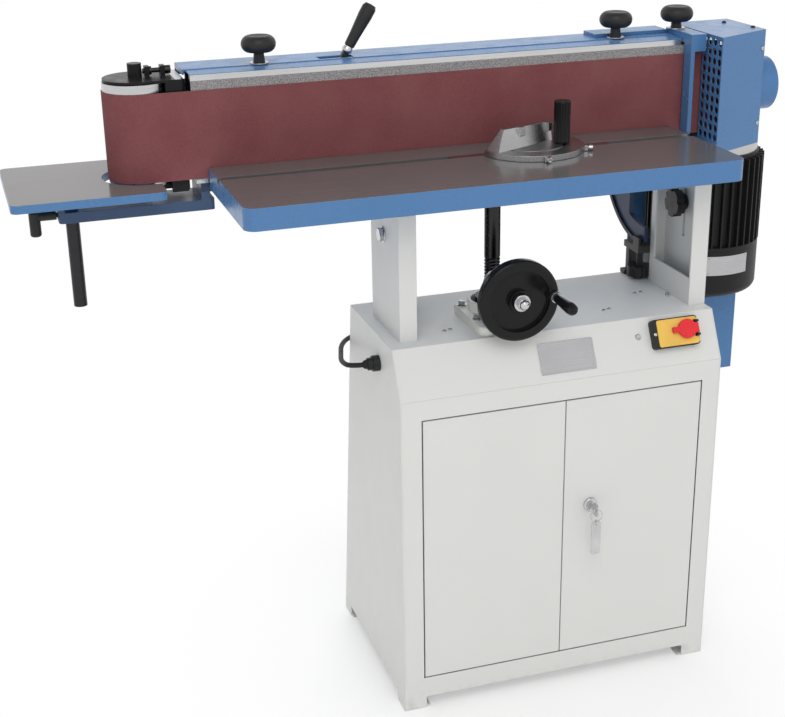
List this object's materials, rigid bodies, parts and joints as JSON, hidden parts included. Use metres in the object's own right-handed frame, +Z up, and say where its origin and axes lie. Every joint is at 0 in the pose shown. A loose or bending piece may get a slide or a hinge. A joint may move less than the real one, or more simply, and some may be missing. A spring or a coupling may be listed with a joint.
{
  "type": "oscillating edge sander",
  "caption": "Floor standing edge sander: long belt on two upright drums over a tilting head, rise and fall table with mitre gauge, small end table, cabinet base, upright motor and dust hood.",
  "frame": {"origin": "on the floor, at the middle of the cabinet's four anchor holes", "axes": "+X to the operator's right along the belt, +Y to the back, +Z up"},
  "size_m": [1.431, 0.555, 1.2158],
  "materials": {
    "cabinet_paint": "semi gloss warm light grey powder coat",
    "blue_paint": "gloss blue paint",
    "dark_blue_paint": "gloss dark blue paint on cast iron",
    "cream_paint": "cream paint on a casting",
    "ground_iron": "ground cast iron with blue painted edges",
    "dark_iron": "plain dark iron",
    "bright_steel": "bright turned steel",
    "black_steel": "black oxide or black paint",
    "motor_black": "black painted finned casting",
    "motor_alloy": "bare cast alloy",
    "drum_alloy": "turned alloy",
    "black_plastic": "black moulded plastic",
    "gloss_black": "glossy black plastic",
    "red_plastic": "red plastic",
    "green_plastic": "green plastic",
    "belt_cloth": "red brown abrasive cloth",
    "graphite": "graphite coated cloth",
    "rubber": "black cable sheath"
  },
  "bodies": {
    "cabinet": {"cabinet_sides": "cabinet_paint", "cabinet_back": "cabinet_paint", "cabinet_front_frame": "cabinet_paint", "cabinet_deck": "cabinet_paint", "cabinet_floor": "cabinet_paint", "door_hinges": "bright_steel", "columns": "cabinet_paint", "gearbox_housing": "cream_paint", "trunnion_guides": "black_steel", "switch_box": "gloss_black", "cord_glands": "black_plastic", "power_lead": "rubber"},
    "left_door": {"left_door": "cabinet_paint"},
    "right_door": {"right_door": "cabinet_paint"},
    "latch": {"door_latch": "bright_steel"},
    "stop_lid": {"stop_lid": "red_plastic"},
    "start_button": {"start_button": "green_plastic"},
    "handwheel": {"handwheel": "gloss_black", "handwheel_shaft": "bright_steel"},
    "crank": {"crank_handle": "gloss_black"},
    "lift_nut": {"lift_nut": "black_steel"},
    "table": {"table": "ground_iron", "table_brackets": "cabinet_paint", "leadscrew": "black_steel"},
    "left_lock": {"left_lock_knob": "black_plastic"},
    "right_lock": {"right_lock_knob": "black_plastic"},
    "trunnion_knob_left": {"trunnion_knob_left": "black_plastic"},
    "trunnion_knob_right": {"trunnion_knob_right": "black_plastic"},
    "mitre_bar": {"mitre_bar": "bright_steel"},
    "mitre_head": {"mitre_head": "motor_alloy"},
    "mitre_handle": {"mitre_handle": "gloss_black"},
    "head": {"head_base": "dark_blue_paint", "platen": "dark_iron", "graphite_pad": "graphite", "head_frame": "dark_blue_paint", "trunnions": "dark_blue_paint", "top_cover": "blue_paint", "drive_cover": "blue_paint", "dust_hood": "blue_paint", "motor_flange": "motor_alloy", "motor_housing": "motor_black", "motor_cowl": "black_steel", "motor_bearings": "bright_steel", "motor_guard": "blue_paint", "end_table_arm": "dark_blue_paint"},
    "cover_knob_left": {"cover_knob_left": "gloss_black"},
    "cover_knob_right": {"cover_knob_right": "gloss_black"},
    "stop_knob": {"stop_knob": "gloss_black"},
    "work_stop": {"work_stop": "blue_paint"},
    "sanding_belt": {"sanding_belt": "belt_cloth"},
    "drive": {"drive_drum": "drum_alloy", "motor_shaft": "bright_steel"},
    "idler_carriage": {"idler_carriage": "black_steel"},
    "idler": {"idler_drum": "drum_alloy", "idler_bearings": "bright_steel"},
    "tension_lever": {"tension_lever": "black_steel"},
    "tracking_screw": {"tracking_screw": "bright_steel"},
    "end_table": {"end_table": "ground_iron", "end_table_post": "black_steel"},
    "end_table_lever": {"end_table_lever": "black_plastic"}
  },
  "joints": [
    {"name": "left_door_swing", "type": "hinge", "parent": "cabinet", "child": "left_door", "pos_m": [-0.254, -0.189, 0.316], "axis": [0, 0, -1], "range_deg": [0, 110]},
    {"name": "right_door_swing", "type": "hinge", "parent": "cabinet", "child": "right_door", "pos_m": [0.257, -0.189, 0.316], "axis": [0, 0, 1], "range_deg": [0, 110]},
    {"name": "latch_turn", "type": "hinge", "parent": "right_door", "child": "latch", "pos_m": [0.054, -0.19, 0.36], "axis": [0, 1, 0], "range_deg": [0, 90]},
    {"name": "stop_lid_swing", "type": "hinge", "parent": "cabinet", "child": "stop_lid", "pos_m": [0.256, -0.18147, 0.66709], "axis": [0, 0.4603, 0.8878], "range_deg": [0, 100]},
    {"name": "start_button_press", "type": "slide", "parent": "cabinet", "child": "start_button", "axis": [0, 0.8878, -0.4603], "range_m": [0, 0.003], "stiffness_N_per_m": 400},
    {"name": "handwheel_turn", "type": "hinge", "parent": "cabinet", "child": "handwheel", "pos_m": [-0.083, -0.175, 0.757], "axis": [0, 1, 0], "range_deg": [-1800, 900]},
    {"name": "crank_spin", "type": "hinge", "parent": "handwheel", "child": "crank", "pos_m": [-0.02258, -0.23, 0.76017], "axis": [0, 1, 0], "continuous": true},
    {"name": "lift_nut_turn", "type": "hinge", "parent": "cabinet", "child": "lift_nut", "pos_m": [-0.083, -0.055, 0.715], "axis": [0, 0, 1], "range_deg": [-1800, 900]},
    {"name": "table_lift", "type": "slide", "parent": "cabinet", "child": "table", "axis": [0, 0, 1], "range_m": [-0.04, 0.02]},
    {"name": "left_lock_turn", "type": "hinge", "parent": "cabinet", "child": "left_lock", "pos_m": [-0.254, -0.04, 0.855], "axis": [1, 0, 0], "range_deg": [0, 360]},
    {"name": "right_lock_turn", "type": "hinge", "parent": "table", "child": "right_lock", "pos_m": [0.278, -0.04, 0.855], "axis": [1, 0, 0], "range_deg": [0, 360]},
    {"name": "trunnion_knob_left_turn", "type": "hinge", "parent": "cabinet", "child": "trunnion_knob_left", "pos_m": [-0.21, 0.054, 0.702], "axis": [0, 0, 1], "range_deg": [0, 360]},
    {"name": "trunnion_knob_right_turn", "type": "hinge", "parent": "cabinet", "child": "trunnion_knob_right", "pos_m": [0.258, 0.054, 0.702], "axis": [0, 0, 1], "range_deg": [0, 360]},
    {"name": "mitre_slide", "type": "slide", "parent": "table", "child": "mitre_bar", "axis": [1, 0, 0], "range_m": [-0.38, 0.16]},
    {"name": "mitre_swivel", "type": "hinge", "parent": "mitre_bar", "child": "mitre_head", "pos_m": [0.012, 0.007, 0.97], "axis": [0, 0, 1], "range_deg": [-63, 27]},
    {"name": "mitre_handle_turn", "type": "hinge", "parent": "mitre_head", "child": "mitre_handle", "pos_m": [0.067, -0.002, 1], "axis": [0, 0, 1], "range_deg": [0, 360]},
    {"name": "head_tilt", "type": "hinge", "parent": "cabinet", "child": "head", "pos_m": [0, 0.04, 0.925], "axis": [-1, 0, 0], "range_deg": [0, 90]},
    {"name": "cover_knob_left_turn", "type": "hinge", "parent": "head", "child": "cover_knob_left", "pos_m": [-0.436, 0.14, 1.15], "axis": [0, 0, 1], "range_deg": [0, 720]},
    {"name": "cover_knob_right_turn", "type": "hinge", "parent": "head", "child": "cover_knob_right", "pos_m": [0.233, 0.14, 1.15], "axis": [0, 0, 1], "range_deg": [0, 720]},
    {"name": "stop_knob_turn", "type": "hinge", "parent": "head", "child": "stop_knob", "pos_m": [0.357, 0.14, 1.15], "axis": [0, 0, 1], "range_deg": [0, 720]},
    {"name": "work_stop_slide", "type": "slide", "parent": "head", "child": "work_stop", "axis": [0, 1, 0], "range_m": [-0.01, 0]},
    {"name": "belt_oscillation", "type": "slide", "parent": "head", "child": "sanding_belt", "axis": [0, 0, 1], "range_m": [-0.003, 0.003]},
    {"name": "drive_spin", "type": "hinge", "parent": "head", "child": "drive", "pos_m": [0.44, 0.1485, 1], "axis": [0, 0, 1], "continuous": true},
    {"name": "tension_lever_swing", "type": "hinge", "parent": "head", "child": "tension_lever", "pos_m": [-0.3, 0.15, 1.098], "axis": [0, 1, 0], "range_deg": [-60, 0]},
    {"name": "tension_slide", "type": "slide", "parent": "head", "child": "idler_carriage", "axis": [1, 0, 0], "range_m": [0, 0.012]},
    {"name": "idler_spin", "type": "hinge", "parent": "idler_carriage", "child": "idler", "pos_m": [-0.648, 0.1485, 1], "axis": [0, 0, 1], "continuous": true},
    {"name": "tracking_turn", "type": "hinge", "parent": "idler_carriage", "child": "tracking_screw", "pos_m": [-0.61, 0.1485, 1.1256], "axis": [1, 0, 0], "range_deg": [-360, 360]},
    {"name": "end_table_lift", "type": "slide", "parent": "head", "child": "end_table", "axis": [0, 0, 1], "range_m": [-0.01, 0.05]},
    {"name": "end_table_lock_turn", "type": "hinge", "parent": "head", "child": "end_table_lever", "pos_m": [-0.812, 0.125, 0.899], "axis": [1, 0, 0], "range_deg": [0, 120]}
  ],
  "couplings": [
    {"joint": "handwheel_turn", "follows": "table_lift", "rad_per_m": 785.4},
    {"joint": "lift_nut_turn", "follows": "table_lift", "rad_per_m": 785.4},
    {"joint": "tension_slide", "follows": "tension_lever_swing", "m_per_rad": -0.011459},
    {"joint": "idler_spin", "follows": "drive_spin", "ratio": 1}
  ]
}
